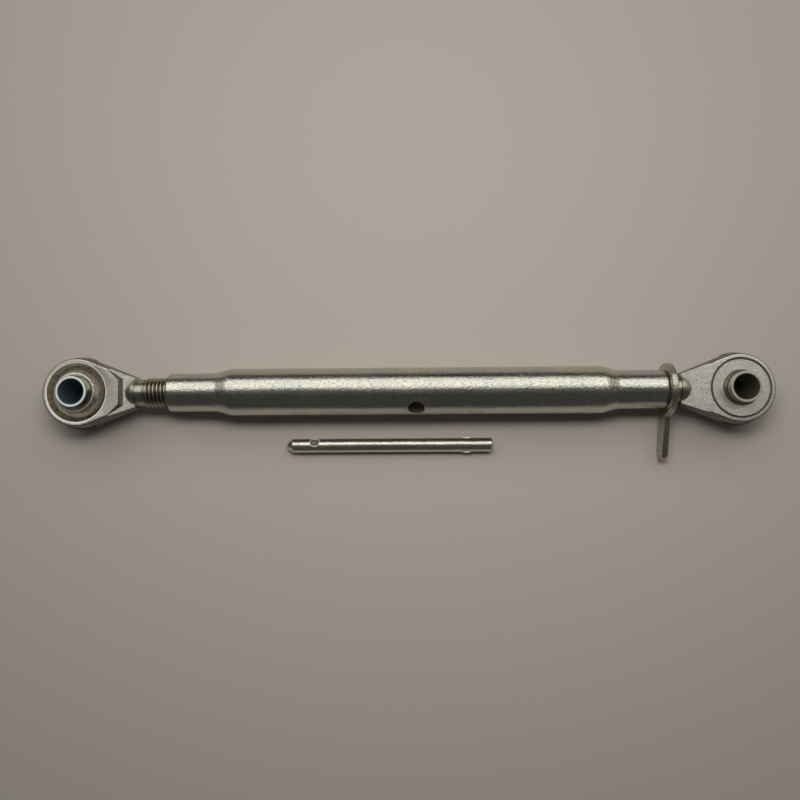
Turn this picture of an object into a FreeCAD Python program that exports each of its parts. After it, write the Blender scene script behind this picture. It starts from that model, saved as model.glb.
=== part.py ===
import FreeCAD, Part

import math
import os

from FreeCAD import Vector

# Tractor top link, in millimetres. The origin is the centre of the left ball,
# +X runs to the right ball and +Z along the ball bores, upwards as the link lies.

# Ball bores, alike at both ends
bore_radius = 9.65
ball_width = 44.0
sleeve_radius = 11.8
sleeve_chamfer = 0.3

# Left ball, with a flat shoulder round its sleeve, and the cone-mouthed seat that holds it
left_ball_radius = 22.0
left_ball_flat_height = 16.0
left_lip_height = 8.2
left_mouth_radius = 23.2
left_mouth_chamfer = 0.4

# Right ball, smaller, held by a rolled lip that shows as a groove in the face
right_ball_radius = 18.5
right_opening_radius = 13.8
right_opening_chamfer = 0.5
lip_groove_radius = 22.8
lip_groove_width = 1.8
lip_groove_depth = 2.2

ball_clearance = 0.1

# Drop-forged eye, one blank for both ends
eye_radius = 26.7
eye_thickness = 25.5
eye_edge_radius = 1.6
forging_draft = 6.0
neck_taper = 22.0
neck_slope = 14.3
neck_slope_start = 23.0
eye_to_shoulder = 44.4
boss_radius = 12.2
boss_dome_length = 8.4
boss_dome_drop = 4.2
boss_dome_bulge = 1.0

# Raised pad that reinforces the left eye
pad_reach = 33.0
pad_half_width = 9.4
pad_step_slope = 40.0

# Threaded shank
thread_radius = 12.0
relief_radius = 10.6
relief_length = 6.2
shank_hole_gap = 8.4
shank_chamfer = 1.8

# Swaged barrel
barrel_length = 391.2
barrel_radius = 19.0
barrel_end_radius = 15.1
swage_length = 37.3
swage_taper = 12.4
barrel_bore_radius = 14.6
thread_clearance = 0.075
barrel_chamfer = 0.9
bar_hole_radius = 6.5
bar_hole_angle = 50.0

# Bare thread on show between each eye and the barrel or its nut, as the link lies
left_thread_shown = 26.1
right_thread_shown = 5.95

# Lock nut, a thick ring and its lever in one plate
nut_radius = 20.6
nut_thickness = 5.0
nut_edge_radius = 1.1
nut_chamfer = 0.7
nut_seat_gap = 0.05
lever_reach = 51.6
lever_width = 14.0
lever_root_radius = 6.0
lever_table_gap = 0.05

# Loose tommy bar beside the barrel
tommy_radius = 5.65
tommy_length = 165.6
tommy_start = 161.8
tommy_offset = 42.8
tommy_left_chamfer = 1.6
tommy_right_chamfer = 0.7
stake_inset_left = 22.0
stake_inset_right = 20.5
stake_depth = 1.2
stake_tool_radius = 6.5
stake_angle_left = 30.0
stake_angle_right = 90.0

# Places worked out from the sizes
half_thickness = eye_thickness / 2
table = -ball_width / 2
barrel_start = eye_to_shoulder + left_thread_shown
barrel_end = barrel_start + barrel_length
nut_start = barrel_end + nut_seat_gap
right_shoulder = nut_start + nut_thickness + right_thread_shown
right_centre = right_shoulder + eye_to_shoulder
thread_bore_radius = thread_radius + thread_clearance
shank_tip = (barrel_start + barrel_end) / 2 + bar_hole_radius + shank_hole_gap
shank_length = right_shoulder - shank_tip

# How far a cutting shape stands out of what it cuts, and how near counts as on a plane
proud = 1.0
near = 0.01

X_AXIS = Vector(1, 0, 0)
Y_AXIS = Vector(0, 1, 0)
Z_AXIS = Vector(0, 0, 1)
ORIGIN = Vector(0, 0, 0)


def closed_face(points):
    """A flat face inside a closed run of straight lines."""
    return Part.Face(Part.makePolygon(points + points[:1]))


def turned_about_z(profile):
    """A turned solid from (radius, height) points, one full turn about Z."""
    return closed_face([Vector(r, 0, z) for r, z in profile]).revolve(ORIGIN, Z_AXIS, 360)


def mirrored_in_z(shape):
    return shape.mirror(ORIGIN, Z_AXIS)


def eye_outline(radius, z):
    """The forging's outline at one height: a round head, and a neck that leaves it by tangents."""
    taper = math.radians(neck_taper)
    tangent_x = radius * math.sin(taper)
    tangent_y = radius * math.cos(taper)
    end_y = tangent_y - (eye_to_shoulder - tangent_x) * math.tan(taper)
    head_far = Vector(-radius, 0, z)
    head_upper = Vector(tangent_x, tangent_y, z)
    head_lower = Vector(tangent_x, -tangent_y, z)
    neck_upper = Vector(eye_to_shoulder, end_y, z)
    neck_lower = Vector(eye_to_shoulder, -end_y, z)
    head = Part.Arc(head_upper, head_far, head_lower).toShape()
    sides = [
        Part.LineSegment(head_lower, neck_lower).toShape(),
        Part.LineSegment(neck_lower, neck_upper).toShape(),
        Part.LineSegment(neck_upper, head_upper).toShape(),
    ]
    return Part.Wire([head] + sides)


def rounded_half():
    """The upper half of the blank, drafted in from the parting line, with its face edge rounded."""
    parting_radius = eye_radius + half_thickness * math.tan(math.radians(forging_draft))
    parting = eye_outline(parting_radius, 0)
    face = eye_outline(eye_radius, half_thickness)
    half = Part.makeLoft([parting, face], True, True)
    rims = []
    for edge in half.Edges:
        box = edge.BoundBox
        on_face = box.ZMin > half_thickness - near
        across_neck = box.XMin > eye_to_shoulder - near
        if on_face and not across_neck:
            rims.append(edge)
    return half.makeFillet(eye_edge_radius, rims)


def neck_relief():
    """What the dies leave off above the neck, which thins towards the shank."""
    run = eye_to_shoulder - neck_slope_start
    drop = run * math.tan(math.radians(neck_slope))
    above = half_thickness + proud
    span = 2 * eye_radius
    section = closed_face([
        Vector(neck_slope_start, -span / 2, half_thickness),
        Vector(eye_to_shoulder, -span / 2, half_thickness - drop),
        Vector(eye_to_shoulder + proud, -span / 2, half_thickness - drop),
        Vector(eye_to_shoulder + proud, -span / 2, above),
        Vector(neck_slope_start, -span / 2, above),
    ])
    return section.extrude(Y_AXIS * span)


def pad_side(distance, angle):
    """What lies behind one sloping side of the pad. The side faces the given way from the bore's axis."""
    span = 4 * eye_radius
    top = half_thickness + 2 * proud
    slope = math.tan(math.radians(pad_step_slope))
    section = closed_face([
        Vector(-span / 2, -span / 2, 0),
        Vector(distance + slope * half_thickness, -span / 2, 0),
        Vector(distance - slope * 2 * proud, -span / 2, top),
        Vector(-span / 2, -span / 2, top),
    ])
    side = section.extrude(Y_AXIS * span)
    side.rotate(ORIGIN, Z_AXIS, angle)
    return side


def pad_block():
    """The raised pad on the left eye's neck, its two far corners cut at 45 degrees."""
    corner = (pad_reach + pad_half_width) / math.sqrt(2)
    return pad_side(pad_reach, 0).common(pad_side(corner, 45)).common(pad_side(corner, -45))


def shank():
    """The turned end: a domed boss, its shoulder, the relief behind the thread, and the thread."""
    dome_start = eye_to_shoulder - boss_dome_length
    dome_foot = boss_radius - boss_dome_drop
    relief_end = eye_to_shoulder + relief_length
    tip = eye_to_shoulder + shank_length
    root = Vector(dome_start, 0, 0)
    foot = Vector(dome_start, dome_foot, 0)
    crown = Vector(eye_to_shoulder, boss_radius, 0)
    chord = crown.sub(foot)
    middle = foot.add(chord * 0.5).add(Vector(-chord.y, chord.x, 0).normalize() * boss_dome_bulge)
    corners = [
        crown,
        Vector(eye_to_shoulder, relief_radius, 0),
        Vector(relief_end, relief_radius, 0),
        Vector(relief_end + thread_radius - relief_radius, thread_radius, 0),
        Vector(tip - shank_chamfer, thread_radius, 0),
        Vector(tip, thread_radius - shank_chamfer, 0),
        Vector(tip, 0, 0),
        root,
        foot,
    ]
    edges = [Part.Arc(foot, middle, crown).toShape()]
    for start, end in zip(corners, corners[1:]):
        edges.append(Part.LineSegment(start, end).toShape())
    return Part.Face(Part.Wire(edges)).revolve(ORIGIN, X_AXIS, 360)


def eye_forging(relief):
    """The blank with its shank, thinned above and below the neck by the relief."""
    half = rounded_half().cut(relief)
    return half.fuse([mirrored_in_z(half), shank()]).removeSplitter()


def left_seat():
    """The left eye's spherical seat and the cone mouth above and below it."""
    sphere_radius = left_ball_radius + ball_clearance
    lip_radius = math.sqrt(sphere_radius ** 2 - left_lip_height ** 2)
    mouth = turned_about_z([
        (0, 0),
        (lip_radius, 0),
        (lip_radius, left_lip_height),
        (left_mouth_radius, half_thickness - left_mouth_chamfer),
        (left_mouth_radius + left_mouth_chamfer + proud, half_thickness + proud),
        (0, half_thickness + proud),
    ])
    sphere = Part.makeSphere(sphere_radius)
    reach = Part.makeCylinder(sphere_radius, 2 * left_lip_height, Vector(0, 0, -left_lip_height))
    return sphere.common(reach).fuse([mouth, mirrored_in_z(mouth)])


def right_seat():
    """The right eye's spherical seat, its two openings and the groove of each rolled lip."""
    sphere = Part.makeSphere(right_ball_radius + ball_clearance)
    reach = Part.makeCylinder(eye_radius, eye_thickness, Vector(0, 0, -half_thickness))
    opening = turned_about_z([
        (0, 0),
        (right_opening_radius, 0),
        (right_opening_radius, half_thickness - right_opening_chamfer),
        (right_opening_radius + right_opening_chamfer + proud, half_thickness + proud),
        (0, half_thickness + proud),
    ])
    groove = turned_about_z([
        (lip_groove_radius - lip_groove_width / 2, half_thickness + proud),
        (lip_groove_radius - lip_groove_width / 2, half_thickness - lip_groove_depth / 2),
        (lip_groove_radius, half_thickness - lip_groove_depth),
        (lip_groove_radius + lip_groove_width / 2, half_thickness - lip_groove_depth / 2),
        (lip_groove_radius + lip_groove_width / 2, half_thickness + proud),
    ])
    cuts = [opening, mirrored_in_z(opening), groove, mirrored_in_z(groove)]
    return sphere.common(reach).fuse(cuts)


def left_eye():
    return eye_forging(neck_relief().cut(pad_block())).cut(left_seat())


def right_eye():
    """The right eye, turned end for end so that its shank points back to the barrel."""
    eye = eye_forging(neck_relief()).cut(right_seat())
    eye = eye.mirror(ORIGIN, X_AXIS)
    eye.translate(X_AXIS * right_centre)
    return eye


def bored_ball(radius, flat_height, centre_x):
    """A ball and its two sleeves in one turned piece, with the bore right through."""
    flat_radius = math.sqrt(radius ** 2 - flat_height ** 2)
    end = ball_width / 2
    outer = sleeve_radius - sleeve_chamfer
    inner = bore_radius + sleeve_chamfer
    arc_start = Vector(flat_radius, 0, -flat_height)
    arc_end = Vector(flat_radius, 0, flat_height)
    arc = Part.Arc(arc_start, Vector(radius, 0, 0), arc_end)
    above = [
        Vector(flat_radius, 0, flat_height),
        Vector(sleeve_radius, 0, flat_height),
        Vector(sleeve_radius, 0, end - sleeve_chamfer),
        Vector(outer, 0, end),
        Vector(inner, 0, end),
        Vector(bore_radius, 0, end - sleeve_chamfer),
    ]
    if flat_radius - sleeve_radius < near:
        above = above[1:]
        above[0] = Vector(flat_radius, 0, flat_height)
    below = [Vector(point.x, 0, -point.z) for point in reversed(above)]
    corners = above + below
    edges = [arc.toShape()]
    for start, finish in zip(corners, corners[1:]):
        edges.append(Part.LineSegment(start, finish).toShape())
    ball = Part.Face(Part.Wire(edges)).revolve(ORIGIN, Z_AXIS, 360)
    ball.translate(X_AXIS * centre_x)
    return ball


def left_ball():
    return bored_ball(left_ball_radius, left_ball_flat_height, 0)


def right_ball():
    """The smaller ball, whose sphere runs straight into its sleeves."""
    meeting_height = math.sqrt(right_ball_radius ** 2 - sleeve_radius ** 2)
    return bored_ball(right_ball_radius, meeting_height, right_centre)


def swage_curve(start, end):
    """Two equal arcs that carry the tube from one radius to the other without a crease."""
    middle = (start + end) * 0.5
    run = end.x - start.x
    rise = end.y - start.y
    bend = (run ** 2 + rise ** 2) / (4 * abs(rise))
    half_turn = math.asin(run / 2 / bend) / 2
    along = bend * math.sin(half_turn)
    away = math.copysign(bend * (1 - math.cos(half_turn)), rise)
    first = Vector(start.x + along, start.y + away, 0)
    second = Vector(end.x - along, end.y - away, 0)
    return [Part.Arc(start, first, middle).toShape(), Part.Arc(middle, second, end).toShape()]


def barrel():
    """The tube: swaged down at both ends, bored for the shanks, and cross-drilled at mid length."""
    chamfer = barrel_chamfer
    start = barrel_start
    end = barrel_end
    left_neck = start + swage_length
    left_full = left_neck + swage_taper
    right_neck = end - swage_length
    right_full = right_neck - swage_taper

    def at(x, radius):
        return Vector(x, radius, 0)

    def line(*points):
        return [Part.LineSegment(a, b).toShape() for a, b in zip(points, points[1:])]

    edges = line(
        at(start, thread_bore_radius + chamfer),
        at(start, barrel_end_radius - chamfer),
        at(start + chamfer, barrel_end_radius),
        at(left_neck, barrel_end_radius),
    )
    edges += swage_curve(at(left_neck, barrel_end_radius), at(left_full, barrel_radius))
    edges += line(at(left_full, barrel_radius), at(right_full, barrel_radius))
    edges += swage_curve(at(right_full, barrel_radius), at(right_neck, barrel_end_radius))
    edges += line(
        at(right_neck, barrel_end_radius),
        at(end - chamfer, barrel_end_radius),
        at(end, barrel_end_radius - chamfer),
        at(end, thread_bore_radius + chamfer),
        at(end - chamfer, thread_bore_radius),
        at(right_neck, thread_bore_radius),
        at(right_full, barrel_bore_radius),
        at(left_full, barrel_bore_radius),
        at(left_neck, thread_bore_radius),
        at(start + chamfer, thread_bore_radius),
        at(start, thread_bore_radius + chamfer),
    )
    tube = Part.Face(Part.Wire(edges)).revolve(ORIGIN, X_AXIS, 360)
    turn = math.radians(bar_hole_angle)
    hole_axis = Vector(0, -math.sin(turn), math.cos(turn))
    hole_centre = Vector((start + end) / 2, 0, 0)
    reach = 2 * barrel_radius
    hole = Part.makeCylinder(bar_hole_radius, 2 * reach, hole_centre.sub(hole_axis * reach), hole_axis)
    return tube.cut(hole)


def rounded_plate(outline, thickness, edge_radius):
    """A plate from a closed wire, with both its rims rounded."""
    plate = Part.Face(outline).extrude(X_AXIS * thickness)
    ends = (outline.BoundBox.XMin, outline.BoundBox.XMin + thickness)
    rims = []
    for edge in plate.Edges:
        box = edge.BoundBox
        flat = box.XMax - box.XMin < near
        if flat and min(abs(box.XMin - x) for x in ends) < near:
            rims.append(edge)
    return plate.makeFillet(edge_radius, rims)


def lock_nut():
    """The ring and the lever that slopes down until its round tip meets the table."""
    tip_radius = lever_width / 2
    drop = -table - lever_table_gap - tip_radius
    slope = math.asin(drop / lever_reach)
    x = nut_start

    root_y = math.sqrt((nut_radius + lever_root_radius) ** 2 - (tip_radius + lever_root_radius) ** 2)
    root = Vector(x, -root_y, tip_radius + lever_root_radius)
    ring_touch = root * 1
    ring_touch.x = 0
    ring_touch = ring_touch.normalize() * nut_radius
    ring_touch.x = x
    lever_touch = Vector(x, -root_y, tip_radius)
    toward = (ring_touch + lever_touch) * 0.5 - root
    toward.normalize()
    root_middle = root + toward * lever_root_radius

    def flipped(point):
        return Vector(point.x, point.y, -point.z)

    tip_upper = Vector(x, -lever_reach, tip_radius)
    outline = Part.Wire([
        Part.Arc(ring_touch, Vector(x, nut_radius, 0), flipped(ring_touch)).toShape(),
        Part.Arc(flipped(ring_touch), flipped(root_middle), flipped(lever_touch)).toShape(),
        Part.LineSegment(flipped(lever_touch), flipped(tip_upper)).toShape(),
        Part.Arc(flipped(tip_upper), Vector(x, -lever_reach - tip_radius, 0), tip_upper).toShape(),
        Part.LineSegment(tip_upper, lever_touch).toShape(),
        Part.Arc(lever_touch, root_middle, ring_touch).toShape(),
    ])
    plate = rounded_plate(outline, nut_thickness, nut_edge_radius)
    bore = Part.makeCylinder(thread_bore_radius, nut_thickness, Vector(x, 0, 0), X_AXIS)
    mouth = Part.makeCone(
        thread_bore_radius + nut_chamfer, thread_bore_radius, nut_chamfer, Vector(x, 0, 0), X_AXIS
    )
    far_mouth = Part.makeCone(
        thread_bore_radius + nut_chamfer, thread_bore_radius, nut_chamfer,
        Vector(x + nut_thickness, 0, 0), X_AXIS * -1
    )
    nut = plate.cut(bore.fuse([mouth, far_mouth]))
    nut.rotate(ORIGIN, X_AXIS, math.degrees(slope))
    return nut


def stake_cut(x, angle):
    """One pair of opposite chisel marks, which swell the bar so that it can't leave its hole."""
    centre_y = -tommy_offset
    centre_z = table + tommy_radius
    turn = math.radians(angle)
    out = Vector(0, math.sin(turn), math.cos(turn))
    across = Vector(0, math.cos(turn), -math.sin(turn))
    marks = []
    for side in (1, -1):
        offset = tommy_radius - stake_depth + stake_tool_radius
        middle = Vector(x, centre_y, centre_z) + out * (side * offset)
        start = middle - across * tommy_radius
        marks.append(Part.makeCylinder(stake_tool_radius, 2 * tommy_radius, start, across))
    return marks


def tommy_bar():
    """The round bar that turns the barrel, lying on the table beside it."""
    start = tommy_start
    end = tommy_start + tommy_length
    profile = closed_face([
        Vector(start, 0, 0),
        Vector(start, tommy_radius - tommy_left_chamfer, 0),
        Vector(start + tommy_left_chamfer, tommy_radius, 0),
        Vector(end - tommy_right_chamfer, tommy_radius, 0),
        Vector(end, tommy_radius - tommy_right_chamfer, 0),
        Vector(end, 0, 0),
    ])
    bar = profile.revolve(ORIGIN, X_AXIS, 360)
    bar.translate(Vector(0, -tommy_offset, table + tommy_radius))
    marks = stake_cut(start + stake_inset_left, stake_angle_left)
    marks += stake_cut(end - stake_inset_right, stake_angle_right)
    return bar.cut(marks)


pieces = {
    "barrel": barrel,
    "left_eye": left_eye,
    "left_ball": left_ball,
    "right_eye": right_eye,
    "right_ball": right_ball,
    "lock_nut": lock_nut,
    "tommy_bar": tommy_bar,
}

os.makedirs("parts", exist_ok=True)
for name, make in pieces.items():
    shape = make()
    shape.exportStep(f"parts/{name}.step")
    box = shape.BoundBox
    print(f"{name}: {len(shape.Solids)} solid, valid {shape.isValid()}, {shape.Volume / 1000:.2f} cm3")
    print(f"  x {box.XMin:.2f} to {box.XMax:.2f}, y {box.YMin:.2f} to {box.YMax:.2f}")
    print(f"  z {box.ZMin:.2f} to {box.ZMax:.2f}")
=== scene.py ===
import math

import bmesh
import bpy
from mathutils import Matrix, Vector
from mathutils.geometry import convex_hull_2d


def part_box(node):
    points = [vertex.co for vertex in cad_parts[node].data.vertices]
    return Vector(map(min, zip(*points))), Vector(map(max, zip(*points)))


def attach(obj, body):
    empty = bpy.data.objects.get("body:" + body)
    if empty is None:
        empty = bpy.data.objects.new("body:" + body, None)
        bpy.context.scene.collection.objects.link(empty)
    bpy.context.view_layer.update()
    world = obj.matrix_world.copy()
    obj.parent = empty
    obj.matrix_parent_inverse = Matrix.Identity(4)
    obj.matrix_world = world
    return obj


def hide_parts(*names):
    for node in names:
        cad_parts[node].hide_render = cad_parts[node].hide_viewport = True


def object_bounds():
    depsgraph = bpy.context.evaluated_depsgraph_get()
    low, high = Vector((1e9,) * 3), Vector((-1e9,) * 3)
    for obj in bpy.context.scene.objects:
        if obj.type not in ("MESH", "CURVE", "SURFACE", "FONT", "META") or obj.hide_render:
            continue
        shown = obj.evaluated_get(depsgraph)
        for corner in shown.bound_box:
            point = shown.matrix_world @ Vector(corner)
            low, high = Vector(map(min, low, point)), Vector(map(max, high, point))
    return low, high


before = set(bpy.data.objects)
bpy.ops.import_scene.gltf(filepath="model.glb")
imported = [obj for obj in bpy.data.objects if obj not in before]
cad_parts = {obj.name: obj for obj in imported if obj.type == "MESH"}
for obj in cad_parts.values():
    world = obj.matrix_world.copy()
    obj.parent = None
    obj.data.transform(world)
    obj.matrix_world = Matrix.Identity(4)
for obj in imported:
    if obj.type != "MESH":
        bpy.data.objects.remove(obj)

cad_low, cad_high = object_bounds()


# The table top under the link: a plain pale surface, not part of the link.
# The link rests on its ball sleeves and on the lever's tip, so the table is the lowest level of them all.
table_height = cad_low.z
table_half_width = 6.0
table_colour = (0.475, 0.43, 0.39, 1.0)


def new_material(name):
    """A material with one Principled shader. Returns (material, its nodes, its links, the shader)."""
    material = bpy.data.materials.new(name)
    material.use_nodes = True
    nodes = material.node_tree.nodes
    return material, nodes, material.node_tree.links, nodes["Principled BSDF"]


def in_the_scene(name, data):
    """An object with that mesh, lamp or camera, placed in the scene."""
    piece = bpy.data.objects.new(name, data)
    bpy.context.scene.collection.objects.link(piece)
    return piece


table_material, _, _, table_shader = new_material("table_top")
table_shader.inputs["Base Color"].default_value = table_colour
table_shader.inputs["Roughness"].default_value = 0.75
table_shader.inputs["Specular IOR Level"].default_value = 0.25

table_mesh = bpy.data.meshes.new("table")
reach = table_half_width
table_corners = [(-reach, -reach), (reach, -reach), (reach, reach), (-reach, reach)]
table_mesh.from_pydata([(x, y, table_height) for x, y in table_corners], [], [(0, 1, 2, 3)])
table_mesh.materials.append(table_material)
in_the_scene("table", table_mesh)


# The view: a camera looking almost straight down from the tommy bar's side, as the link was photographed.
# A long window beyond the link gives the tube its bright band, and a lamp just above it the table's light and shadow.
# A doorway to the right and the lit ceiling near the window show only in the metal.
image_size = 800
focal_pixels = 732.1
sensor_width = 36.0
camera_place = Vector((0.2616, -0.0412, 0.580))
camera_tilt = math.radians(3.368)
camera_turn = math.radians(0.823)
camera_roll = math.radians(-0.359)

camera_data = bpy.data.cameras.new("camera")
camera_data.sensor_width = sensor_width
camera_data.lens = sensor_width * focal_pixels / image_size
camera_data.clip_start = 0.01
camera = in_the_scene("camera", camera_data)
turned = Matrix.Rotation(camera_turn, 4, "Y") @ Matrix.Rotation(camera_tilt, 4, "X")
camera.matrix_world = Matrix.Translation(camera_place) @ turned @ Matrix.Rotation(camera_roll, 4, "Z")
bpy.context.scene.camera = camera


def soft_light(name, place, target, width, depth, power, colour):
    """A rectangular softbox that faces its target."""
    data = bpy.data.lights.new(name, "AREA")
    data.shape = "RECTANGLE"
    data.size = width
    data.size_y = depth
    data.energy = power
    data.color = colour
    light = in_the_scene(name, data)
    light.location = place
    light.rotation_euler = (Vector(target) - Vector(place)).to_track_quat("-Z", "Y").to_euler()
    return light


link_middle = ((cad_low.x + cad_high.x) / 2, 0, 0)
soft_light(
    "window", place=(0.26, 0.773, 1.038), target=link_middle,
    width=2.7, depth=1.18, power=12.9, colour=(1.0, 0.985, 0.95),
)
lamp = soft_light(
    "lamp", place=(0.26, 0.18, 0.60), target=link_middle,
    width=0.36, depth=0.16, power=1.70, colour=(1.0, 0.98, 0.95),
)
lamp.visible_glossy = False
doorway = soft_light(
    "doorway", place=(2.6, 0.30, 0.75), target=link_middle,
    width=1.2, depth=1.0, power=2.0, colour=(1.0, 0.95, 0.87),
)
doorway.visible_diffuse = False
ceiling = soft_light(
    "ceiling", place=(0.26, 0.30, 1.90), target=link_middle,
    width=4.0, depth=1.6, power=1.1, colour=(0.96, 1.0, 1.0),
)
ceiling.visible_diffuse = False

world = bpy.data.worlds.new("room")
world.use_nodes = True
world.node_tree.nodes["Background"].inputs["Color"].default_value = (1.0, 0.99, 0.94, 1.0)
world.node_tree.nodes["Background"].inputs["Strength"].default_value = 0.058
bpy.context.scene.world = world
bpy.context.scene.view_settings.view_transform = "Standard"


# Barrel: a drawn steel tube, swaged down at both ends over its two opposite threads and plated with bright zinc.
# The plate is mirror-like but finely pitted, with the long faint lines of the drawing die under it.
# Inside, and in the drilled hole's walls, the steel is dark with oil.
zinc_grey = (0.60, 0.60, 0.55, 1.0)
zinc_bloom = (0.68, 0.66, 0.54, 1.0)
zinc_dull = (0.34, 0.34, 0.30, 1.0)
# The colour of the painted shade in the thread's roots.
root_painted_shade = (0.25, 0.215, 0.165, 1.0)
cloud_limits = (0.38, 0.66)
spot_limits = (0.45, 0.72)
rough_limits = (0.35, 0.65)
mix_factor, mix_first, mix_second, mix_result = 0, 6, 7, 2


def group_tree(name, inputs, outputs):
    """An empty shader node group with float inputs (name, value) or colours (name, colour), and its outputs."""
    tree = bpy.data.node_groups.new(name, "ShaderNodeTree")
    for label, value in inputs:
        kind = "NodeSocketFloat" if isinstance(value, float) else "NodeSocketColor"
        socket = tree.interface.new_socket(label, in_out="INPUT", socket_type=kind)
        socket.default_value = value
    for label, kind in outputs:
        tree.interface.new_socket(label, in_out="OUTPUT", socket_type=kind)
    return tree, tree.nodes.new("NodeGroupInput"), tree.nodes.new("NodeGroupOutput")


def add_noise(tree, coordinates, scale, detail, roughness=0.55):
    """A noise texture over the given coordinates. scale is a number or a socket."""
    noise = tree.nodes.new("ShaderNodeTexNoise")
    noise.inputs["Detail"].default_value = detail
    noise.inputs["Roughness"].default_value = roughness
    tree.links.new(coordinates, noise.inputs["Vector"])
    if isinstance(scale, float):
        noise.inputs["Scale"].default_value = scale
    else:
        tree.links.new(scale, noise.inputs["Scale"])
    return noise.outputs["Fac"]


def add_ramp(tree, value, low, high):
    """Stretches a value from low..high to 0..1."""
    ramp = tree.nodes.new("ShaderNodeMapRange")
    ramp.inputs["From Min"].default_value = low
    ramp.inputs["From Max"].default_value = high
    tree.links.new(value, ramp.inputs["Value"])
    return ramp.outputs["Result"]


def add_mix(tree, factor, first, second):
    """Mixes two colours, each a socket or a colour, by a factor socket or number."""
    mix = tree.nodes.new("ShaderNodeMix")
    mix.data_type = "RGBA"
    for index, source in ((mix_factor, factor), (mix_first, first), (mix_second, second)):
        if isinstance(source, (float, tuple)):
            mix.inputs[index].default_value = source
        else:
            tree.links.new(source, mix.inputs[index])
    return mix.outputs[mix_result]


def add_math(tree, operation, first, second):
    """One arithmetic step on two sockets or numbers."""
    step = tree.nodes.new("ShaderNodeMath")
    step.operation = operation
    for index, source in enumerate((first, second)):
        if isinstance(source, float):
            step.inputs[index].default_value = source
        else:
            tree.links.new(source, step.inputs[index])
    return step.outputs["Value"]


# Bloom: clouds of a second tone over the plate, some millimetres wide, and dull spots of a third.
bloom_group, bloom_in, bloom_out = group_tree(
    "plate_bloom",
    [("Metal", zinc_grey), ("Bloom", zinc_bloom), ("Dull", zinc_dull), ("Cloud Scale", 60.0), ("Spot Scale", 900.0),
     ("Spot Share", 0.35)],
    [("Color", "NodeSocketColor")],
)
bloom_place = bloom_group.nodes.new("ShaderNodeTexCoord").outputs["Object"]
cloud = add_noise(bloom_group, bloom_place, bloom_in.outputs["Cloud Scale"], 3.0)
cloud = add_ramp(bloom_group, cloud, *cloud_limits)
spots = add_noise(bloom_group, bloom_place, bloom_in.outputs["Spot Scale"], 2.0)
spots = add_ramp(bloom_group, spots, *spot_limits)
tinted = add_mix(bloom_group, cloud, bloom_in.outputs["Metal"], bloom_in.outputs["Bloom"])
spot_share = add_math(bloom_group, "MULTIPLY", spots, bloom_in.outputs["Spot Share"])
bloom_group.links.new(add_mix(bloom_group, spot_share, tinted, bloom_in.outputs["Dull"]), bloom_out.inputs["Color"])

# Grain: the height of fine pits over broader waves, which may be drawn out along the link, and a varied roughness.
grain_group, grain_in, grain_out = group_tree(
    "fine_grain",
    [("Fine Scale", 1400.0), ("Broad Scale", 160.0), ("Broad Share", 0.4), ("Broad Stretch", 1.0), ("Smooth", 0.22),
     ("Rough", 0.34)],
    [("Height", "NodeSocketFloat"), ("Roughness", "NodeSocketFloat")],
)
grain_place = grain_group.nodes.new("ShaderNodeTexCoord").outputs["Object"]
fine = add_noise(grain_group, grain_place, grain_in.outputs["Fine Scale"], 3.0)
grain_parts = grain_group.nodes.new("ShaderNodeSeparateXYZ")
drawn_place = grain_group.nodes.new("ShaderNodeCombineXYZ")
grain_group.links.new(grain_place, grain_parts.inputs["Vector"])
drawn_x = add_math(grain_group, "MULTIPLY", grain_parts.outputs["X"], grain_in.outputs["Broad Stretch"])
grain_group.links.new(drawn_x, drawn_place.inputs["X"])
grain_group.links.new(grain_parts.outputs["Y"], drawn_place.inputs["Y"])
grain_group.links.new(grain_parts.outputs["Z"], drawn_place.inputs["Z"])
broad = add_noise(grain_group, drawn_place.outputs["Vector"], grain_in.outputs["Broad Scale"], 2.0)
broad_part = add_math(grain_group, "MULTIPLY", broad, grain_in.outputs["Broad Share"])
grain_group.links.new(add_math(grain_group, "ADD", fine, broad_part), grain_out.inputs["Height"])
rough_span = add_math(grain_group, "SUBTRACT", grain_in.outputs["Rough"], grain_in.outputs["Smooth"])
rough_part = add_math(grain_group, "MULTIPLY", add_ramp(grain_group, broad, *rough_limits), rough_span)
grain_roughness = add_math(grain_group, "ADD", rough_part, grain_in.outputs["Smooth"])
grain_group.links.new(grain_roughness, grain_out.inputs["Roughness"])


def place_group(nodes, tree, **values):
    """Puts a node group into a material and sets its inputs by name, with _ for a space."""
    node = nodes.new("ShaderNodeGroup")
    node.node_tree = tree
    for label, value in values.items():
        node.inputs[label.replace("_", " ")].default_value = value
    return node


def plated_finish(name, bloom, grain, bump_height, metallic=1.0, marks=None, marks_share=0.0, roots=None):
    """A plated or bare metal surface. bloom gives its colour, grain its roughness and its bump, in metres.

    marks is a node group whose height is added to the grain's, and roots one whose mask paints shade into the colour.
    """
    material, nodes, links, shader = new_material(name)
    colour = place_group(nodes, bloom_group, **bloom).outputs["Color"]
    surface = place_group(nodes, grain_group, **grain)
    height = surface.outputs["Height"]
    tree = material.node_tree
    if marks:
        marks_height = add_math(tree, "MULTIPLY", place_group(nodes, marks).outputs["Height"], marks_share)
        height = add_math(tree, "ADD", height, marks_height)
    if roots:
        colour = add_mix(tree, place_group(nodes, roots).outputs["Mask"], colour, root_painted_shade)
    bump = nodes.new("ShaderNodeBump")
    bump.inputs["Strength"].default_value = 1.0
    bump.inputs["Distance"].default_value = bump_height
    links.new(height, bump.inputs["Height"])
    links.new(bump.outputs["Normal"], shader.inputs["Normal"])
    links.new(colour, shader.inputs["Base Color"])
    links.new(surface.outputs["Roughness"], shader.inputs["Roughness"])
    shader.inputs["Metallic"].default_value = metallic
    return material


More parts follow.
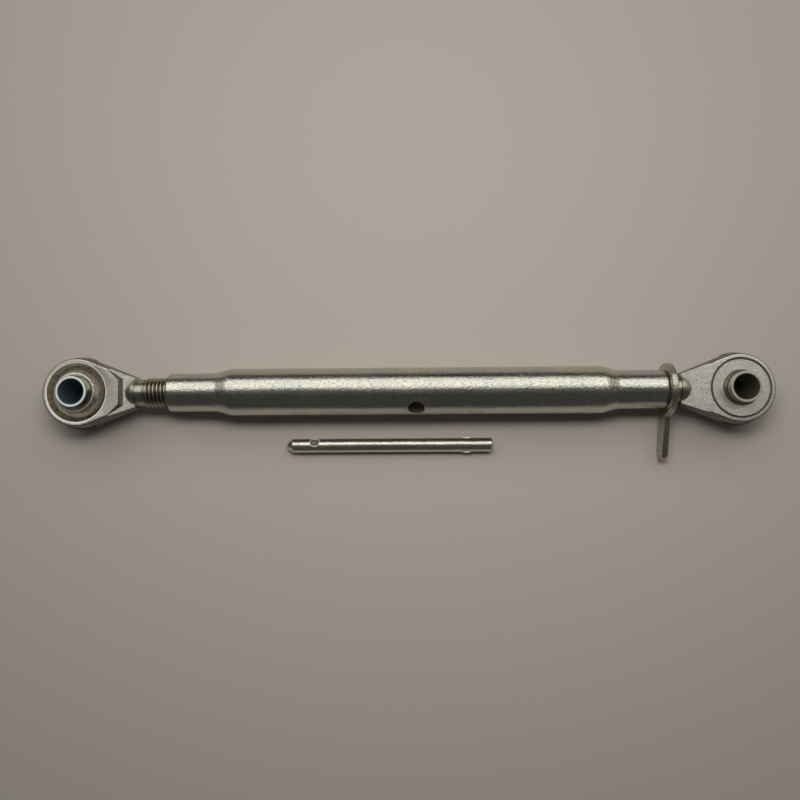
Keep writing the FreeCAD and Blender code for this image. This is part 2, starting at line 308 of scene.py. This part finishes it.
tube_zinc = plated_finish(
    "tube_zinc",
    dict(Metal=zinc_grey, Bloom=zinc_bloom, Dull=zinc_dull, Cloud_Scale=45.0, Spot_Scale=850.0, Spot_Share=0.85),
    dict(Fine_Scale=760.0, Broad_Scale=260.0, Broad_Share=0.6, Broad_Stretch=0.08, Smooth=0.12, Rough=0.20),
    0.00020,
)
tube_inside = plated_finish(
    "tube_inside",
    dict(Metal=(0.16, 0.145, 0.12, 1.0), Bloom=(0.20, 0.18, 0.14, 1.0), Dull=(0.08, 0.07, 0.055, 1.0),
         Cloud_Scale=90.0, Spot_Scale=620.0, Spot_Share=0.5),
    dict(Fine_Scale=560.0, Broad_Scale=260.0, Broad_Share=0.5, Smooth=0.45, Rough=0.60),
    0.00010,
    metallic=0.7,
)
end_steepness = 0.9
tube_radius = 0.019
tube_end_radius = 0.0151
swage_length = 0.0373
swage_run = 0.0124
swage_softness = 0.0016
swage_margin = 0.5
largest_exponent = 60.0
merge_distance = 1e-6
cad_crease_angle = 30


def crease(mesh, angle):
    """Shades a mesh smooth, apart from edges that turn by more than the angle."""
    edit = bmesh.new()
    edit.from_mesh(mesh)
    for face in edit.faces:
        face.smooth = True
    for edge in edit.edges:
        edge.smooth = len(edge.link_faces) == 2 and edge.calc_face_angle(0.0) < angle
    edit.to_mesh(mesh)
    edit.free()


def cad_copy(node):
    """An editable copy of a CAD node's mesh, its faces joined along their edges."""
    edit = bmesh.new()
    edit.from_mesh(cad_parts[node].data)
    bmesh.ops.remove_doubles(edit, verts=edit.verts[:], dist=merge_distance)
    return edit


def stand_in(edit, node, name, materials):
    """Finishes an edited copy as the piece that stands for its CAD node."""
    data = bpy.data.meshes.new(name)
    for material in materials:
        data.materials.append(material)
    edit.to_mesh(data)
    edit.free()
    crease(data, math.radians(cad_crease_angle))
    piece = in_the_scene(name, data)
    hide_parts(node)
    return piece


def swaged_radius(inward):
    """The tube's outer radius at a distance in from its end: two straight runs, a cone, and softened corners."""
    share = (inward - swage_length) / swage_run
    soft = swage_softness / swage_run
    low_corner = soft * math.log1p(math.exp(min(share / soft, largest_exponent)))
    high_corner = soft * math.log1p(math.exp(min((share - 1) / soft, largest_exponent)))
    return tube_end_radius + (tube_radius - tube_end_radius) * (low_corner - high_corner)


tube_low, tube_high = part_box("barrel")
swage_start = swage_length - swage_margin * swage_run
swage_end = swage_length + (1 + swage_margin) * swage_run
tube = cad_copy("barrel")
for vertex in tube.verts:
    inward = min(vertex.co.x - tube_low.x, tube_high.x - vertex.co.x)
    radius = math.hypot(vertex.co.y, vertex.co.z)
    outside = radius > tube_end_radius - merge_distance
    if outside and swage_start < inward < swage_end:
        vertex.co.yz = Vector(vertex.co.yz) * (swaged_radius(inward) / radius)
tube.normal_update()
for face in tube.faces:
    deepest = min(math.hypot(vertex.co.y, vertex.co.z) for vertex in face.verts)
    at_end = abs(face.normal.x) > end_steepness
    face.material_index = 0 if at_end or deepest > tube_end_radius - merge_distance else 1
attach(stand_in(tube, "barrel", "barrel_tube", [tube_zinc, tube_inside]), "barrel")


# Eyes: drop forgings with a draft, a trimmed flash round them and a coarse rolled thread, tumbled and zinc-plated.
# The left eye's thread is right-handed and the right eye's left-handed, so one turn of the barrel moves both.
# The drafted sides are painted dark as painted shade. The boss, the mouth's bevel and the band behind each thread are
# turned and shine, and the bevel's shine is a painted highlight.
forging_grey = (0.71, 0.672, 0.612, 1.0)
forging_light = (0.81, 0.775, 0.705, 1.0)
forging_dull = (0.36, 0.33, 0.28, 1.0)
eye_to_shoulder = 0.0444
boss_radius = 0.0122
boss_foot_radius = 0.008
boss_length = 0.0084
boss_bulge = 0.001
boss_tolerance = 0.00004
band_cut = 0.0058
band_radius = 0.0106
band_length = 0.0062
thread_pitch = 0.003
thread_crest = 0.012
thread_root = 0.0098
thread_fade = 0.003
thread_lead_turns = 2
thread_spare_turns = 3
# The next two set where the painted shade in the thread's roots begins below the crest, and where it is full above
# the root.
shade_start_below_crest = 0.0003
full_shade_above_root = 0.0005
tip_chamfer = 0.0018
thread_profile = ((-0.09, 1.0), (0.09, 1.0), (0.38, 0.12), (0.50, 0.0), (0.62, 0.12))
thread_sides = 72
flash_proud = 0.0007
flash_sunk = 0.0004
flash_half_height = 0.0009
flash_end = 0.0355
flash_step = 0.0015
parting_tolerance = 0.00002
eye_half_thickness = 0.01275
mouth_radius = 0.0232
opening_radius = 0.0138
bevel_reach = 0.0012
groove_inner = 0.0219
groove_outer = 0.0237
side_steepness = 0.93
mouth_chamfer = 0.0004
mouth_bevel = 0.0010
turning_mark_scale = 1800.0
built_crease_angle = 50
forged_finish, turned_finish, bevel_finish, groove_finish, side_shade_finish = 0, 1, 2, 3, 4

forging = plated_finish(
    "forging",
    dict(Metal=forging_grey, Bloom=forging_light, Dull=forging_dull, Cloud_Scale=90.0, Spot_Scale=700.0,
         Spot_Share=0.65),
    dict(Fine_Scale=620.0, Broad_Scale=260.0, Broad_Share=0.8, Smooth=0.36, Rough=0.48),
    0.00016,
    metallic=0.85,
)
# A near-white, nearly matt finish: a painted highlight on the mouth's bevel and on the stake marks.
painted_highlight_white = plated_finish(
    "painted_highlight_edge",
    dict(Metal=(0.84, 0.82, 0.77, 1.0), Bloom=(0.88, 0.86, 0.81, 1.0), Dull=(0.66, 0.63, 0.58, 1.0),
         Cloud_Scale=90.0, Spot_Scale=1500.0, Spot_Share=0.2),
    dict(Fine_Scale=1300.0, Broad_Scale=420.0, Broad_Share=0.8, Smooth=0.40, Rough=0.50),
    0.00003,
    metallic=0.2,
)
# The drafted sides' finish: a darker copy of the forging, painted shade.
forging_side_painted_shade = plated_finish(
    "forging_side_painted_shade",
    dict(Metal=(0.20, 0.185, 0.16, 1.0), Bloom=(0.26, 0.245, 0.21, 1.0), Dull=(0.10, 0.09, 0.075, 1.0),
         Cloud_Scale=90.0, Spot_Scale=700.0, Spot_Share=0.65),
    dict(Fine_Scale=620.0, Broad_Scale=260.0, Broad_Share=0.8, Smooth=0.38, Rough=0.50),
    0.00016,
    metallic=0.85,
)
# The flash is painted dark as painted shade, a dark line round the eyes.
flash_painted_shade = plated_finish(
    "flash_painted_shade",
    dict(Metal=(0.13, 0.115, 0.09, 1.0), Bloom=(0.18, 0.16, 0.13, 1.0), Dull=(0.07, 0.06, 0.05, 1.0),
         Cloud_Scale=90.0, Spot_Scale=700.0, Spot_Share=0.5),
    dict(Fine_Scale=620.0, Broad_Scale=260.0, Broad_Share=0.8, Smooth=0.42, Rough=0.54),
    0.00010,
    metallic=0.7,
)
# The lip's groove is painted dark as painted shade.
groove_dark = plated_finish(
    "groove_shadow",
    dict(Metal=(0.22, 0.20, 0.17, 1.0), Bloom=(0.28, 0.25, 0.21, 1.0), Dull=(0.14, 0.12, 0.10, 1.0),
         Cloud_Scale=90.0, Spot_Scale=1500.0, Spot_Share=0.4),
    dict(Fine_Scale=1300.0, Broad_Scale=420.0, Broad_Share=0.8, Smooth=0.45, Rough=0.55),
    0.00005,
    metallic=0.5,
)


def radius_about(tree, parts, first, second):
    """The distance from an axis, from the two coordinates across it."""
    squares = [add_math(tree, "MULTIPLY", parts.outputs[axis], parts.outputs[axis]) for axis in (first, second)]
    return add_math(tree, "SQRT", add_math(tree, "ADD", *squares), 0.0)


def object_parts(tree):
    """The three object coordinates of the surface."""
    parts = tree.nodes.new("ShaderNodeSeparateXYZ")
    tree.links.new(tree.nodes.new("ShaderNodeTexCoord").outputs["Object"], parts.inputs["Vector"])
    return parts


def marks_group(name, along, first, second):
    """A node group with the height of turning marks, which run round the axis named along."""
    tree, _, output = group_tree(name, [], [("Height", "NodeSocketFloat")])
    parts = object_parts(tree)
    profile_place = tree.nodes.new("ShaderNodeCombineXYZ")
    tree.links.new(radius_about(tree, parts, first, second), profile_place.inputs["X"])
    tree.links.new(parts.outputs[along], profile_place.inputs["Y"])
    tree.links.new(add_noise(tree, profile_place.outputs["Vector"], turning_mark_scale, 2.0), output.inputs["Height"])
    return tree


def root_shade_group(name, crest, root):
    """A node group with a mask that is 1 in the roots of a thread along X and 0 at its crests, where it paints shade.
    """
    tree, _, output = group_tree(name, [], [("Mask", "NodeSocketFloat")])
    radius = radius_about(tree, object_parts(tree), "Y", "Z")
    tree.links.new(add_ramp(tree, radius, crest, root), output.inputs["Mask"])
    return tree


lengthwise_marks = marks_group("turning_marks_lengthwise", "X", "Y", "Z")
thread_root_shade = root_shade_group("thread_root_shade", thread_crest - shade_start_below_crest, thread_root + full_shade_above_root)

turned_zinc = plated_finish(
    "turned_zinc",
    dict(Metal=(0.46, 0.45, 0.38, 1.0), Bloom=(0.52, 0.50, 0.42, 1.0), Dull=(0.26, 0.25, 0.20, 1.0),
         Cloud_Scale=120.0, Spot_Scale=1500.0, Spot_Share=0.4),
    dict(Fine_Scale=1600.0, Broad_Scale=500.0, Broad_Share=0.5, Smooth=0.20, Rough=0.32),
    0.00008,
    marks=lengthwise_marks, marks_share=2.5,
)
# The thread's roots are darkened with painted shade.
thread_zinc = plated_finish(
    "thread_zinc",
    dict(Metal=(0.52, 0.50, 0.43, 1.0), Bloom=(0.60, 0.57, 0.48, 1.0), Dull=(0.26, 0.25, 0.21, 1.0),
         Cloud_Scale=120.0, Spot_Scale=1500.0, Spot_Share=0.4),
    dict(Fine_Scale=1600.0, Broad_Scale=500.0, Broad_Share=0.5, Smooth=0.22, Rough=0.36),
    0.00005,
    roots=thread_root_shade,
)


def mesh_from(edit, name, material, angle=built_crease_angle):
    """Turns an edited mesh into a finished one with its material."""
    bmesh.ops.recalc_face_normals(edit, faces=edit.faces[:])
    data = bpy.data.meshes.new(name)
    edit.to_mesh(data)
    edit.free()
    data.materials.append(material)
    crease(data, math.radians(angle))
    return data


def cut_off(edit, plane_x, side):
    """Drops what lies on that side of a plane across X, and returns the edges round the cut."""
    whole = edit.verts[:] + edit.edges[:] + edit.faces[:]
    cut = bmesh.ops.bisect_plane(
        edit, geom=whole, plane_co=(plane_x, 0, 0), plane_no=(side, 0, 0), clear_outer=True, dist=1e-7
    )
    return [edge for edge in cut["geom_cut"] if isinstance(edge, bmesh.types.BMEdge)]


def threaded_shank(name, hand, shank_end):
    """A rolled thread along +X from the band, built as one helical strip and cut square at both ends."""
    start = eye_to_shoulder + band_cut
    thread_start = eye_to_shoulder + band_length
    per_turn = len(thread_profile)
    turns = math.ceil((shank_end - start) / thread_pitch) + thread_spare_turns
    rows = turns * per_turn
    edit = bmesh.new()
    grid = []
    for side in range(thread_sides):
        angle = 2 * math.pi * side / thread_sides
        column = []
        for row in range(rows):
            share, height = thread_profile[row % per_turn]
            turns_along = row // per_turn - thread_lead_turns + share + side / thread_sides
            x = start + turns_along * thread_pitch
            full = thread_root + (thread_crest - thread_root) * height
            grown = min(max((x - thread_start) / thread_fade, 0.0), 1.0)
            radius = band_radius + (full - band_radius) * grown
            radius = min(radius, thread_crest - tip_chamfer + max(shank_end - x, 0.0))
            column.append(edit.verts.new((x, radius * math.cos(angle), hand * radius * math.sin(angle))))
        grid.append(column)
    for side in range(thread_sides):
        ahead = (side + 1) % thread_sides
        shift = per_turn if ahead == 0 else 0
        for row in range(rows - 1 - shift):
            near, far = grid[side], grid[ahead]
            edit.faces.new((near[row], near[row + 1], far[row + 1 + shift], far[row + shift]))
    for plane, side in ((start, -1), (shank_end, 1)):
        bmesh.ops.contextual_create(edit, geom=cut_off(edit, plane, side))
    return mesh_from(edit, name, thread_zinc)


def boss_profile_radius(back):
    """The radius of the domed boss at a distance back from its shoulder towards the eye."""
    chord = Vector((boss_length, boss_foot_radius - boss_radius))
    half = chord.length / 2
    bend = (half ** 2 + boss_bulge ** 2) / (2 * boss_bulge)
    inward = Vector((chord.y, -chord.x)).normalized()
    hub = Vector((0, boss_radius)) + chord / 2 + inward * (bend - boss_bulge)
    return hub.y + math.sqrt(max(bend ** 2 - (back - hub.x) ** 2, 0.0))


def is_turned(face, centre, toward):
    """Whether a face of the forging belongs to its domed boss or to what lies beyond the shoulder."""
    on_boss = True
    beyond = True
    for vertex in face.verts:
        back = eye_to_shoulder - toward * (vertex.co.x - centre)
        radius = math.hypot(vertex.co.y, vertex.co.z)
        beyond = beyond and back < parting_tolerance
        in_reach = -parting_tolerance < back < boss_length + parting_tolerance
        on_boss = on_boss and in_reach and abs(radius - boss_profile_radius(back)) < boss_tolerance
    return on_boss or beyond


def finish_of(face, centre, toward, seat_radius):
    """The finish of a face of the forging: forged top, side with painted shade, turned, a bevel with a painted
    highlight, or the lip's groove with painted shade.
    """
    spans = [math.hypot(vertex.co.x - centre, vertex.co.y) for vertex in face.verts]
    heights = [abs(vertex.co.z) for vertex in face.verts]
    if is_turned(face, centre, toward):
        return turned_finish
    if max(spans) < seat_radius + parting_tolerance and min(heights) < eye_half_thickness - parting_tolerance:
        return turned_finish
    sunk = min(heights) < eye_half_thickness - parting_tolerance
    in_bevel = seat_radius - parting_tolerance < min(spans) and max(spans) < seat_radius + bevel_reach
    if sunk and in_bevel and min(heights) > eye_half_thickness - bevel_reach:
        return bevel_finish
    in_groove = groove_inner - parting_tolerance < min(spans) and max(spans) < groove_outer + parting_tolerance
    if sunk and in_groove and seat_radius < groove_inner:
        return groove_finish
    # Steep faces take the side finish, which is painted shade.
    return side_shade_finish if abs(face.normal.z) < side_steepness else forged_finish


def parting_outline(edit, centre, toward):
    """The forging's outline where its dies met, as points in order from one side of the neck to the other."""
    level = [
        Vector((vertex.co.x, vertex.co.y)) for vertex in edit.verts
        if abs(vertex.co.z) < parting_tolerance and toward * (vertex.co.x - centre) < eye_to_shoulder
    ]
    hull = [level[index] for index in convex_hull_2d(level)]
    path = []
    for first, second in zip(hull, hull[1:] + hull[:1]):
        count = max(1, math.ceil((second - first).length / flash_step))
        path += [first.lerp(second, step / count) for step in range(count)]
    path = [point for point in path if toward * (point.x - centre) < flash_end]
    path.sort(key=lambda point: math.atan2(point.y, -toward * (point.x - centre)))
    return [point.to_3d() for point in path]


def parting_flash(name, path, centre):
    """The trimmed flash: a low ridge that follows the outline, closed at both ends, painted dark as painted shade
    along the outline.
    """
    section = (
        (-flash_sunk, -flash_half_height), (flash_proud, -flash_half_height / 2),
        (flash_proud, flash_half_height / 2), (-flash_sunk, flash_half_height),
    )
    edit = bmesh.new()
    rings = []
    for index, point in enumerate(path):
        ahead = path[min(index + 1, len(path) - 1)] - path[max(index - 1, 0)]
        outward = Vector((ahead.y, -ahead.x, 0)).normalized()
        if outward.dot(point - Vector((centre, 0, 0))) < 0:
            outward.negate()
        rings.append([edit.verts.new(point + outward * out + Vector((0, 0, up))) for out, up in section])
    for first, second in zip(rings, rings[1:]):
        for side in range(len(section)):
            after = (side + 1) % len(section)
            edit.faces.new((first[side], first[after], second[after], second[side]))
    edit.faces.new(rings[0])
    edit.faces.new(rings[-1])
    return mesh_from(edit, name, flash_painted_shade)


def forged_eye(node, centre, toward, seat_radius):
    """The eye's own forging with its turned boss, its flash, and a threaded shank in place of the plain one."""
    edit = cad_copy(node)
    rim = cut_off(edit, centre + toward * (eye_to_shoulder + band_cut), toward)
    bmesh.ops.holes_fill(edit, edges=rim)
    wide_mouth = seat_radius == mouth_radius
    for vertex in edit.verts:
        span = vertex.co.xy - Vector((centre, 0))
        on_face = abs(abs(vertex.co.z) - eye_half_thickness) < parting_tolerance
        on_chamfer = abs(span.length - mouth_radius - mouth_chamfer) < parting_tolerance
        if wide_mouth and on_face and on_chamfer:
            vertex.co.xy = Vector((centre, 0)) + span.normalized() * (mouth_radius + mouth_bevel)
    edit.normal_update()
    for face in edit.faces:
        face.material_index = finish_of(face, centre, toward, seat_radius)
    path = parting_outline(edit, centre, toward)
    finishes = [forging, turned_zinc, painted_highlight_white, groove_dark, forging_side_painted_shade]
    eye = stand_in(edit, node, node + "_forging", finishes)

    flash = in_the_scene(node + "_flash", parting_flash(node + "_flash", path, centre))
    box_low, box_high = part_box(node)
    shank_end = max(toward * (box_low.x - centre), toward * (box_high.x - centre))
    thread_mesh = threaded_shank(node + "_thread", 1 if toward > 0 else -1, shank_end)
    turn = Matrix.Rotation(0 if toward > 0 else math.pi, 4, "Z")
    thread_mesh.transform(Matrix.Translation((centre, 0, 0)) @ turn)
    thread = in_the_scene(node + "_thread", thread_mesh)
    for piece in (eye, flash, thread):
        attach(piece, node)


left_low, left_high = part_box("left_ball")
right_low, right_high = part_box("right_ball")
left_centre = (left_low.x + left_high.x) / 2
right_centre = (right_low.x + right_high.x) / 2
forged_eye("left_eye", left_centre, 1, mouth_radius)
forged_eye("right_eye", right_centre, -1, opening_radius)


# Balls: turned from bar, a sphere between two sleeves with the pin bore right through, in dark plated steel.
# The left one has a flat shoulder round each sleeve. The sleeves' ends are faced last, and their brightness is a
# painted highlight, near-white on the left ball and grey on the right.
sleeve_radius = 0.0118
bore_radius = 0.00965
left_ball_radius = 0.022
right_ball_radius = 0.0185
left_flat_height = 0.016
edge_round = 0.00035
mouth_round = 0.0007
ball_sides = 144
ball_arc_steps = 40
ball_crease_angle = 35
steel_finish, faced_finish, bore_finish, sphere_finish = 0, 1, 2, 3

upright_marks = marks_group("turning_marks_upright", "Z", "X", "Y")
ball_steel = plated_finish(
    "ball_steel",
    dict(Metal=(0.36, 0.37, 0.29, 1.0), Bloom=(0.42, 0.42, 0.33, 1.0), Dull=(0.22, 0.21, 0.16, 1.0),
         Cloud_Scale=140.0, Spot_Scale=1500.0, Spot_Share=0.4),
    dict(Fine_Scale=1500.0, Broad_Scale=400.0, Broad_Share=0.5, Smooth=0.10, Rough=0.20),
    0.00002,
    marks=upright_marks, marks_share=1.0,
)
# The right ball's sphere: a darker copy of the left ball's brown sphere, painted shade.
sphere_olive_painted_shade = plated_finish(
    "sphere_olive_painted_shade",
    dict(Metal=(0.30, 0.27, 0.20, 1.0), Bloom=(0.38, 0.34, 0.26, 1.0), Dull=(0.11, 0.09, 0.07, 1.0),
         Cloud_Scale=140.0, Spot_Scale=620.0, Spot_Share=0.8),
    dict(Fine_Scale=560.0, Broad_Scale=260.0, Broad_Share=0.5, Smooth=0.34, Rough=0.46),
    0.00016,
    metallic=0.95, marks=upright_marks, marks_share=0.3,
)
sphere_brown = plated_finish(
    "sphere_brown",
    dict(Metal=(0.60, 0.53, 0.44, 1.0), Bloom=(0.72, 0.64, 0.54, 1.0), Dull=(0.22, 0.18, 0.14, 1.0),
         Cloud_Scale=140.0, Spot_Scale=620.0, Spot_Share=0.9),
    dict(Fine_Scale=560.0, Broad_Scale=260.0, Broad_Share=0.5, Smooth=0.28, Rough=0.40),
    0.00022,
    metallic=0.95, marks=upright_marks, marks_share=0.3,
)
# The sleeves' faced ends, painted light as a painted highlight: near-white here, grey on the right ball.
faced_end_painted_highlight = plated_finish(
    "faced_end_left_painted_highlight",
    dict(Metal=(0.80, 0.81, 0.79, 1.0), Bloom=(0.86, 0.87, 0.85, 1.0), Dull=(0.60, 0.60, 0.57, 1.0),
         Cloud_Scale=140.0, Spot_Scale=1500.0, Spot_Share=0.2),
    dict(Fine_Scale=1500.0, Broad_Scale=400.0, Broad_Share=0.5, Smooth=0.40, Rough=0.50),
    0.00004,
    metallic=0.2, marks=upright_marks, marks_share=1.0,
)
faced_end_painted_grey = plated_finish(
    "faced_end_right_painted_grey",
    dict(Metal=(0.43, 0.43, 0.37, 1.0), Bloom=(0.49, 0.49, 0.42, 1.0), Dull=(0.28, 0.27, 0.22, 1.0),
         Cloud_Scale=140.0, Spot_Scale=1500.0, Spot_Share=0.4),
    dict(Fine_Scale=1500.0, Broad_Scale=400.0, Broad_Share=0.5, Smooth=0.36, Rough=0.48),
    0.00004,
    metallic=0.4, marks=upright_marks, marks_share=1.0,
)
# Painted shade inside the pin bore: blue-black on the left ball and olive-black on the right.
bore_shade_blue = plated_finish(
    "bore_painted_shade_left",
    dict(Metal=(0.16, 0.25, 0.30, 1.0), Bloom=(0.19, 0.28, 0.33, 1.0), Dull=(0.11, 0.17, 0.20, 1.0),
         Cloud_Scale=140.0, Spot_Scale=1200.0, Spot_Share=0.4),
    dict(Fine_Scale=1200.0, Broad_Scale=400.0, Broad_Share=0.5, Smooth=0.30, Rough=0.45),
    0.00005,
    metallic=0.7,
)
bore_shade_olive = plated_finish(
    "bore_painted_shade_right",
    dict(Metal=(0.20, 0.18, 0.13, 1.0), Bloom=(0.23, 0.21, 0.15, 1.0), Dull=(0.14, 0.125, 0.09, 1.0),
         Cloud_Scale=140.0, Spot_Scale=1200.0, Spot_Share=0.4),
    dict(Fine_Scale=1200.0, Broad_Scale=400.0, Broad_Share=0.5, Smooth=0.30, Rough=0.45),
    0.00005,
    metallic=0.7,
)


def rounded_corner(before, corner, after, size):
    """Three points that round a corner of a profile."""
    first = corner + (before - corner).normalized() * size
    last = corner + (after - corner).normalized() * size
    return [first, (first + last + corner * 2) / 4, last]


def ball_profile(ball_radius, flat_height):
    """The upper half of a ball's profile, from the bore to the equator: (point, finish of the strip after it)."""
    end = left_high.z
    flat_edge = Vector((math.sqrt(ball_radius ** 2 - flat_height ** 2), flat_height))
    bore_middle = Vector((bore_radius, 0))
    bore_top = Vector((bore_radius, end))
    sleeve_top = Vector((sleeve_radius, end))
    sleeve_foot = Vector((sleeve_radius, flat_height))
    rows = [(bore_middle, bore_finish)]
    inner = rounded_corner(bore_middle, bore_top, sleeve_top, mouth_round)
    rows += [(inner[0], bore_finish), (inner[1], bore_finish), (inner[2], faced_finish)]
    outer = rounded_corner(bore_top, sleeve_top, sleeve_foot, edge_round)
    rows += [(outer[0], faced_finish), (outer[1], faced_finish), (outer[2], steel_finish)]
    rows.append((sleeve_foot, steel_finish))
    arc_start = math.asin(flat_height / ball_radius)
    if flat_edge.x - sleeve_radius > edge_round:
        along_arc = flat_edge + Vector((math.sin(arc_start), -math.cos(arc_start)))
        rim = rounded_corner(sleeve_foot, flat_edge, along_arc, edge_round)
        rows += [(rim[0], faced_finish), (rim[1], sphere_finish), (rim[2], sphere_finish)]
        arc_start -= edge_round / ball_radius
    else:
        rows[-1] = (sleeve_foot, sphere_finish)
    for step in range(1, ball_arc_steps + 1):
        angle = arc_start * (1 - step / ball_arc_steps)
        rows.append((ball_radius * Vector((math.cos(angle), math.sin(angle))), sphere_finish))
    return rows


def turned_ball(node, centre, ball_radius, flat_height, faced, bore_shade, sphere):
    """One ball with its sleeves, turned about Z. The sleeve ends and the bore have their own finishes: a painted
    highlight on the ends and painted shade in the bore.
    """
    rows = ball_profile(ball_radius, flat_height)
    for index in range(len(rows) - 2, 0, -1):
        point = rows[index][0]
        rows.append((Vector((point.x, -point.y)), rows[index - 1][1]))
    edit = bmesh.new()
    grid = []
    for side in range(ball_sides):
        angle = 2 * math.pi * side / ball_sides
        grid.append([
            edit.verts.new((point.x * math.cos(angle), point.x * math.sin(angle), point.y)) for point, _ in rows
        ])
    for side in range(ball_sides):
        ahead = (side + 1) % ball_sides
        for row, (_, finish) in enumerate(rows):
            after = (row + 1) % len(rows)
            face = edit.faces.new((grid[side][row], grid[ahead][row], grid[ahead][after], grid[side][after]))
            face.material_index = finish
    mesh = mesh_from(edit, node + "_turned", ball_steel, ball_crease_angle)
    for material in (faced, bore_shade, sphere):
        mesh.materials.append(material)
    ball = in_the_scene(node + "_turned", mesh)
    ball.location = (centre, 0, 0)
    bpy.context.view_layer.update()
    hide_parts(node)
    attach(ball, node)


right_meeting = math.sqrt(right_ball_radius ** 2 - sleeve_radius ** 2)
turned_ball("left_ball", left_centre, left_ball_radius, left_flat_height, faced_end_painted_highlight, bore_shade_blue, sphere_brown)
turned_ball("right_ball", right_centre, right_ball_radius, right_meeting, faced_end_painted_grey, bore_shade_olive, sphere_olive_painted_shade)


# Lock nut: a thick ring, tapped through, with a plain lever in the same plate, zinc-plated.
# It is run up hard against the barrel's end to hold the length.
plate_zinc = plated_finish(
    "plate_zinc",
    dict(Metal=(0.50, 0.48, 0.40, 1.0), Bloom=(0.60, 0.57, 0.46, 1.0), Dull=(0.24, 0.22, 0.17, 1.0),
         Cloud_Scale=160.0, Spot_Scale=620.0, Spot_Share=0.8),
    dict(Fine_Scale=560.0, Broad_Scale=260.0, Broad_Share=0.9, Smooth=0.26, Rough=0.42),
    0.00024,
)
nut = stand_in(cad_copy("lock_nut"), "lock_nut", "lock_nut_plate", [plate_zinc])
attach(nut, "lock_nut")


# Tommy bar: a loose round bar with one bevelled end, bright zinc over drawn bar, a little warmer than the tube.
# It is staked near both ends, so that it can't fall out of the barrel: the blows raise a burr or lump of bright metal
# there, painted near-white as a painted highlight.
bar_radius = 0.00565
stake_inset_left = 0.022
stake_inset_right = 0.0205
stake_angle_left = 30.0
ear_size = (0.0036, 0.0011, 0.0022)
stake_depth = 0.0012
stake_tool_radius = 0.0065
cad_bevel = 0.0016
bevel_length = 0.004
bevel_tip_radius = 0.0028
burr_radius = 0.00030
burr_steps = 48
burr_sides = 8

bar_zinc = plated_finish(
    "bar_zinc",
    dict(Metal=(0.76, 0.72, 0.65, 1.0), Bloom=(0.84, 0.79, 0.68, 1.0), Dull=(0.44, 0.40, 0.34, 1.0),
         Cloud_Scale=60.0, Spot_Scale=850.0, Spot_Share=0.75),
    dict(Fine_Scale=760.0, Broad_Scale=260.0, Broad_Share=0.6, Broad_Stretch=0.08, Smooth=0.16, Rough=0.26),
    0.00018,
)
bar_low, bar_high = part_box("tommy_bar")
bar_axis = Vector((0, (bar_low.y + bar_high.y) / 2, bar_low.z + bar_radius))
bar = cad_copy("tommy_bar")
for vertex in bar.verts:
    from_end = vertex.co.x - bar_low.x
    across_bar = Vector((0, vertex.co.y, vertex.co.z)) - bar_axis
    if from_end < cad_bevel + parting_tolerance and across_bar.length > bevel_tip_radius:
        share = from_end / cad_bevel
        radius = bevel_tip_radius + (bar_radius - bevel_tip_radius) * share
        vertex.co = bar_axis + across_bar.normalized() * radius + Vector((bar_low.x + share * bevel_length, 0, 0))
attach(stand_in(bar, "tommy_bar", "tommy_bar_rod", [bar_zinc]), "right_eye")


def burr(name, x, angle, side):
    """The lip of metal raised round one stake mark, as a thin rod along the mark's edge, painted near-white as a
    painted highlight.
    """
    turn = math.radians(angle)
    out = Vector((0, math.sin(turn), math.cos(turn))) * side
    across = Vector((0, math.cos(turn), -math.sin(turn)))
    tool_offset = bar_radius - stake_depth + stake_tool_radius
    widest = math.acos((tool_offset - stake_tool_radius) / bar_radius)
    path = []
    for step in range(burr_steps):
        phase = 2 * math.pi * step / burr_steps
        swing = widest * math.sin(phase)
        gap = stake_tool_radius ** 2 - (tool_offset - bar_radius * math.cos(swing)) ** 2
        along = math.copysign(math.sqrt(max(gap, 0.0)), math.cos(phase))
        radial = out * math.cos(swing) + across * math.sin(swing)
        path.append((bar_axis + Vector((x + along, 0, 0)) + radial * bar_radius, radial))
    edit = bmesh.new()
    rings = []
    for index, (point, radial) in enumerate(path):
        ahead = path[(index + 1) % burr_steps][0] - path[index - 1][0]
        aside = ahead.cross(radial).normalized()
        rings.append([
            edit.verts.new(point + (radial * math.cos(a) + aside * math.sin(a)) * burr_radius)
            for a in (2 * math.pi * corner / burr_sides for corner in range(burr_sides))
        ])
    for index, ring in enumerate(rings):
        following = rings[(index + 1) % burr_steps]
        for corner in range(burr_sides):
            after = (corner + 1) % burr_sides
            edit.faces.new((ring[corner], ring[after], following[after], following[corner]))
    lip = in_the_scene(name, mesh_from(edit, name, painted_highlight_white))
    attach(lip, "right_eye")


def ear(name, x, side):
    """A lump of metal pushed out of the bar's side by the stake, painted near-white as a painted highlight."""
    edit = bmesh.new()
    bmesh.ops.create_uvsphere(edit, u_segments=32, v_segments=16, radius=1.0)
    place = bar_axis + Vector((x, side * bar_radius, 0))
    bmesh.ops.transform(edit, matrix=Matrix.Translation(place) @ Matrix.Diagonal((*ear_size, 1.0)), verts=edit.verts)
    lump = in_the_scene(name, mesh_from(edit, name, painted_highlight_white))
    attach(lump, "right_eye")


burr("stake_burr_left", bar_low.x + stake_inset_left, stake_angle_left, 1)
ear("stake_ear_far", bar_high.x - stake_inset_right, 1)
ear("stake_ear_near", bar_high.x - stake_inset_right, -1)
